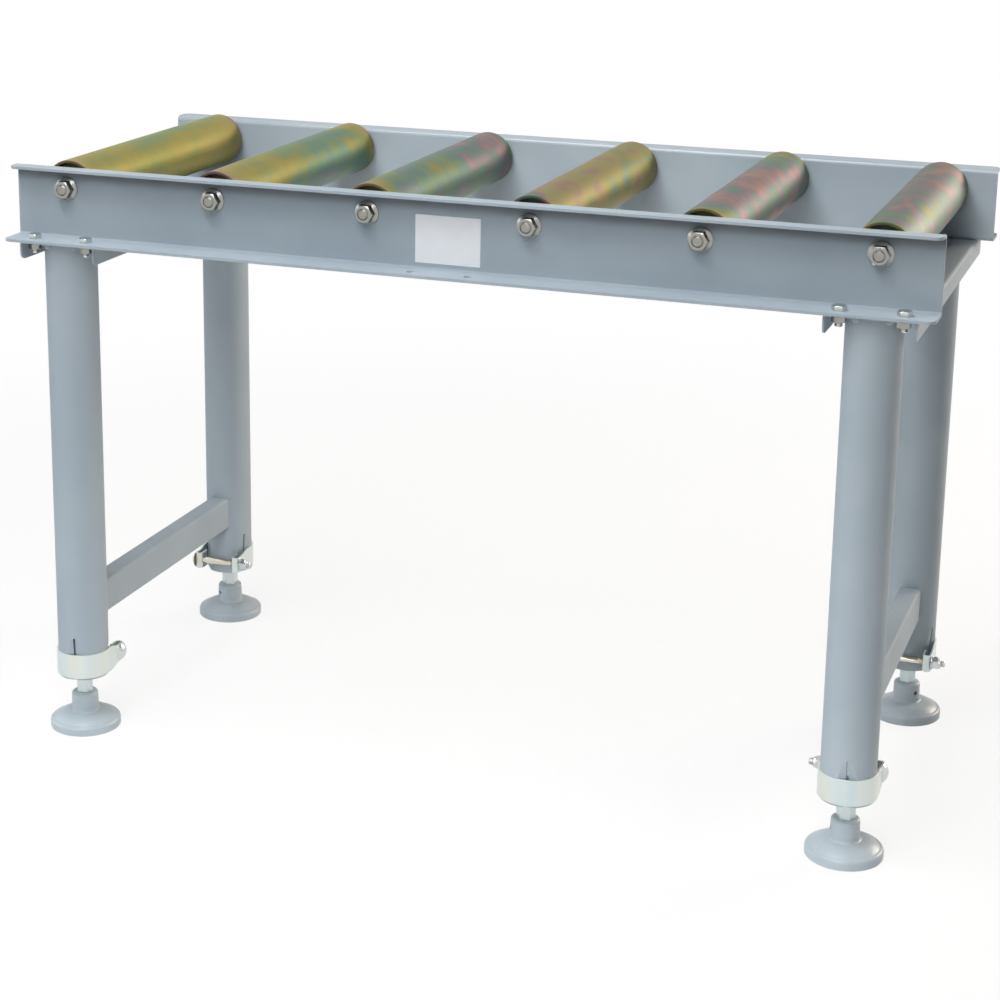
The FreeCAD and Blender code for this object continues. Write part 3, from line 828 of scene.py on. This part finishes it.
def tackBead(corner, turn):
    # arc on the leg's wall, its radius swelling as a half round and rippled by the weld's drops
    middle, half = middleOf(f"leg_tube_{corner}"), halfSizeOf(f"leg_tube_{corner}")
    share = np.sin(np.linspace(-math.pi / 2, math.pi / 2, tackWeld["rings"]))
    angle = np.radians(turn - 90 + tackWeld["halfArc"] * share)
    outward = np.stack([np.cos(angle), np.sin(angle), 0 * angle], 1)
    top = np.array([middle.x, middle.y, middle.z + half.z - tackWeld["down"]])
    path = top + (half.x + tackWeld["out"]) * outward
    ripple = 1 + tackWeld["ripple"] * np.cos(tackWeld["drops"] * share)
    swell = np.sqrt(np.clip(1 - share**2, tackWeld["tip"], 1)) * ripple
    return sweptBead(path, outward, tackWeld["radius"] * swell, tackWeld["around"])


tacks = [tackBead(corner, turn) for corner in legCorners for turn in tackWeld["turns"]]
surfacePiece("leg_tack_welds", tacks, stovePaint, "frame")


# Thin beads down both sides and under each end of a brace, with the upper seam left open

braceWeld = {
    "radius": 0.0013,
    "corner": 0.004,
    "ripple": 0.16,
    "rippleLength": 0.0009,
    "fade": 0.0034,
    "tip": 0.05,
    "sideRings": 40,
    "bendRings": 9,
    "underRings": 22,
    "around": 10,
}


def braceBead(end, side):
    # from the top of one side down, round the lower corners and up the other, laid on the leg's round wall
    brace, half = middleOf(f"cross_brace_{end}"), halfSizeOf(f"cross_brace_{end}")
    leg, legRadius = middleOf(f"leg_tube_rear_{end}"), halfSizeOf(f"leg_tube_rear_{end}").x
    bendRadius = braceWeld["corner"]
    sideRings, underRings = braceWeld["sideRings"], braceWeld["underRings"]
    flat, drop = half.x - bendRadius, half.z - bendRadius
    bend = np.linspace(0, math.pi / 2, braceWeld["bendRings"])
    downwards = np.linspace(drop, -drop, sideRings)
    x = np.concatenate([
        np.full(sideRings, -half.x),
        -flat - bendRadius * np.cos(bend),
        np.linspace(-flat, flat, underRings + 2)[1:-1],
        flat + bendRadius * np.sin(bend),
        np.full(sideRings, half.x),
    ])
    z = np.concatenate([
        downwards,
        -drop - bendRadius * np.sin(bend),
        np.full(underRings, -half.z),
        -drop - bendRadius * np.cos(bend),
        downwards[::-1],
    ])
    keep = np.append(True, np.hypot(np.diff(x), np.diff(z)) > 1e-7)  # no doubled points where runs meet
    x, z = x[keep], z[keep]
    inset = np.sqrt(legRadius**2 - x**2)
    path = np.stack([brace.x + x, side * (leg.y - inset), brace.z + z], 1)
    outward = np.stack([x, -side * inset, 0 * x], 1) / legRadius
    length = np.append(0, np.cumsum(np.hypot(np.diff(x), np.diff(z))))
    fromEnd = np.minimum(length, length[-1] - length)
    swell = np.sqrt(np.clip(fromEnd / braceWeld["fade"], braceWeld["tip"], 1))
    ripple = 1 + braceWeld["ripple"] * np.sin(length / braceWeld["rippleLength"])
    return sweptBead(path, outward, braceWeld["radius"] * swell * ripple, braceWeld["around"])


beads = [braceBead(end, side) for end in ("left", "right") for side in (-1, 1)]
surfacePiece("brace_weld_beads", beads, stovePaint, "frame")


# Blank label on the front rail

label = {
    "left": -0.0345,
    "right": 0.0365,
    "foot": railFoot + 0.0085,
    "head": railFoot + 0.0590,
    "thick": 0.0003,
    "corner": 0.0012,
    "cornerRings": 8,
    "edge": 0.00012,
}


def labelShape():
    # outline of a rectangle with round corners, carried outwards from the web and drawn in at its front edge
    quarter = np.repeat(np.arange(4), label["cornerRings"])
    bend = np.tile(np.linspace(0, math.pi / 2, label["cornerRings"]), 4)
    turn = bend + quarter * math.pi / 2
    flatX = (label["right"] - label["left"]) / 2 - label["corner"]
    flatZ = (label["head"] - label["foot"]) / 2 - label["corner"]
    signX, signZ = np.where((quarter == 0) | (quarter == 3), 1, -1), np.where(quarter < 2, 1, -1)
    rows = []
    for depth, inset in ((0, 0), (label["thick"] - label["edge"], 0), (label["thick"], label["edge"])):
        x = signX * flatX + (label["corner"] - inset) * np.cos(turn)
        z = signZ * flatZ + (label["corner"] - inset) * np.sin(turn)
        rows.append(np.stack([x, np.full_like(x, -depth), z], 1))
    middle = ((label["left"] + label["right"]) / 2, railFace, (label["foot"] + label["head"]) / 2)
    return np.stack(rows) + np.array(middle)


surfacePiece("blank_label", [labelShape()], labelFilm("labelFilm", vinylLook), "frame")


# Camera

photoView = {
    "place": (0.7793, -2.3115, 1.0647),
    "yaw": 0.3643,
    "pitch": 0.2526,
    "roll": -0.0078,
    "focal": 2.2543,  # of the picture's width
    "shift": (0.080, -0.145),  # the picture's middle from the lens axis, in shares of its width
    "sensor": 36,  # millimetres
    "sight": 50,
}


def setCamera():
    yaw, pitch, roll = photoView["yaw"], photoView["pitch"], photoView["roll"]
    ahead = Vector((-math.sin(yaw) * math.cos(pitch), math.cos(yaw) * math.cos(pitch), -math.sin(pitch)))
    level = Vector((math.cos(yaw), math.sin(yaw), 0))
    down = ahead.cross(level)
    right = level * math.cos(roll) + down * math.sin(roll)
    up = level * math.sin(roll) - down * math.cos(roll)
    lens = bpy.data.cameras.new("photoLens")
    lens.sensor_width = photoView["sensor"]
    lens.lens = photoView["sensor"] * photoView["focal"]
    lens.shift_x, lens.shift_y = photoView["shift"]
    lens.clip_end = photoView["sight"]
    camera = bpy.data.objects.new("photoCamera", lens)
    axes = Matrix((right, up, -ahead)).transposed()
    camera.matrix_world = Matrix.Translation(photoView["place"]) @ axes.to_4x4()
    bpy.context.scene.collection.objects.link(camera)
    bpy.context.scene.camera = camera


setCamera()
print("camera: photo view")


# Studio

studio = {
    "sky": (0.93, 0.97, 1.0),
    "skyLevel": 0.04,
    "floorBounce": 0.85,
    "floorSeen": 0.95,
    "floorShare": 0.17,
    "floorFade": (0.75, 2.1),
    "floorReach": 8.0,
}
lamps = {
    "key": {"spot": (-0.6, -0.95, 3.1), "aim": (0, 0, 0.42), "size": 1.5, "spread": 180, "power": 59.0,
            "colour": (0.99, 0.99, 1.0)},
    "front": {"spot": (0.1, -2.3, 2.7), "aim": (0, 0, 0.42), "size": 2.0, "spread": 180, "power": 41.0,
              "colour": (0.97, 0.99, 1.0)},
    "low": {"spot": (0.1, -3.0, 0.7), "aim": (0, -0.2, -0.2), "size": 0.7, "spread": 26, "power": 1.6,
            "colour": (0.99, 0.99, 1.0)},
    "left": {"spot": (-2.8, -0.8, 1.4), "aim": (0, 0, 0.42), "size": 1.5, "spread": 180, "power": 14.0,
             "colour": (0.98, 0.99, 1.0)},
    "warmBack": {"spot": (1.9, 2.1, 1.2), "aim": (0, 0, 0.42), "size": 1.2, "spread": 180, "power": 57.0,
                 "colour": (1.0, 0.86, 0.72)},
}


def addLamp(name, lamp):
    light = bpy.data.lights.new(name, "AREA")
    light.size = lamp["size"]
    light.spread = math.radians(lamp["spread"])
    light.energy = lamp["power"]
    light.color = lamp["colour"]
    holder = bpy.data.objects.new(name, light)
    holder.location = lamp["spot"]
    towards = Vector(lamp["aim"]) - Vector(lamp["spot"])
    holder.rotation_euler = towards.to_track_quat("-Z", "Y").to_euler()
    bpy.context.scene.collection.objects.link(holder)


def seenDirectly(start):
    # 1 for rays from the camera and in mirror-like or clear surfaces, 0 for light that falls on the object
    path = start.node("LightPath", {}, {}, "Is Camera Ray")
    seen = path + path.output("Is Glossy Ray") + path.output("Is Transmission Ray")
    return path.math("MINIMUM", seen, 1.0)


def setSky():
    # faint even light on the object, and white wherever the sky itself is seen
    world = bpy.data.worlds.new("studioSky")
    world.use_nodes = True
    world.node_tree.nodes.clear()
    start = Shade(world.node_tree)
    seen = seenDirectly(start)
    soft = start.node("Background", {}, {"Color": (*studio["sky"], 1), "Strength": studio["skyLevel"]})
    white = start.node("Background", {}, {"Color": (1, 1, 1, 1), "Strength": 1.0})
    both = start.node("MixShader", {}, {0: seen, 1: soft, 2: white})
    start.node("OutputWorld", {}, {"Surface": both})
    bpy.context.scene.world = world


def floorMaterial():
    # pale matt floor that takes the shadow
    # seen directly, most of it gives way to the white behind, and all of it far out
    material, spot = startMaterial("studioFloor")
    out = spot.node("VectorMath", {"operation": "LENGTH"}, {0: spot}, "Value")
    share = studio["floorShare"] * (1 - out.between(*studio["floorFade"]))
    seen = seenDirectly(spot)
    bounce, shown = ((level, level, level, 1) for level in (studio["floorBounce"], studio["floorSeen"]))
    matt = spot.node("BsdfDiffuse", {}, {"Color": seen.mix(bounce, shown)})
    clear = spot.node("BsdfTransparent", {}, {})
    both = spot.node("MixShader", {}, {0: seen * (1 - share), 1: matt, 2: clear})
    spot.node("OutputMaterial", {}, {"Surface": both})
    return material


def setFloor():
    # one flat quarter under each foot, which goes down with that foot when its leg is drawn out
    material = floorMaterial()
    for corner in legCorners:
        foot, reach = middleOf(f"foot_{corner}"), studio["floorReach"]
        x, y = math.copysign(reach, foot.x), math.copysign(reach, foot.y)
        mesh = bpy.data.meshes.new(f"studioFloor_{corner}")
        mesh.from_pydata([(0, 0, 0), (x, 0, 0), (x, y, 0), (0, y, 0)], [], [(0, 1, 2, 3)])
        mesh.materials.append(material)
        quarter = bpy.data.objects.new(mesh.name, mesh)
        bpy.context.scene.collection.objects.link(quarter)
        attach(quarter, nodes[f"foot_{corner}"]["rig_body"])


for name, lamp in lamps.items():
    addLamp(name, lamp)
setSky()
setFloor()
bpy.context.scene.view_settings.view_transform = "Standard"
print("studio:", len(lamps), "lamps")
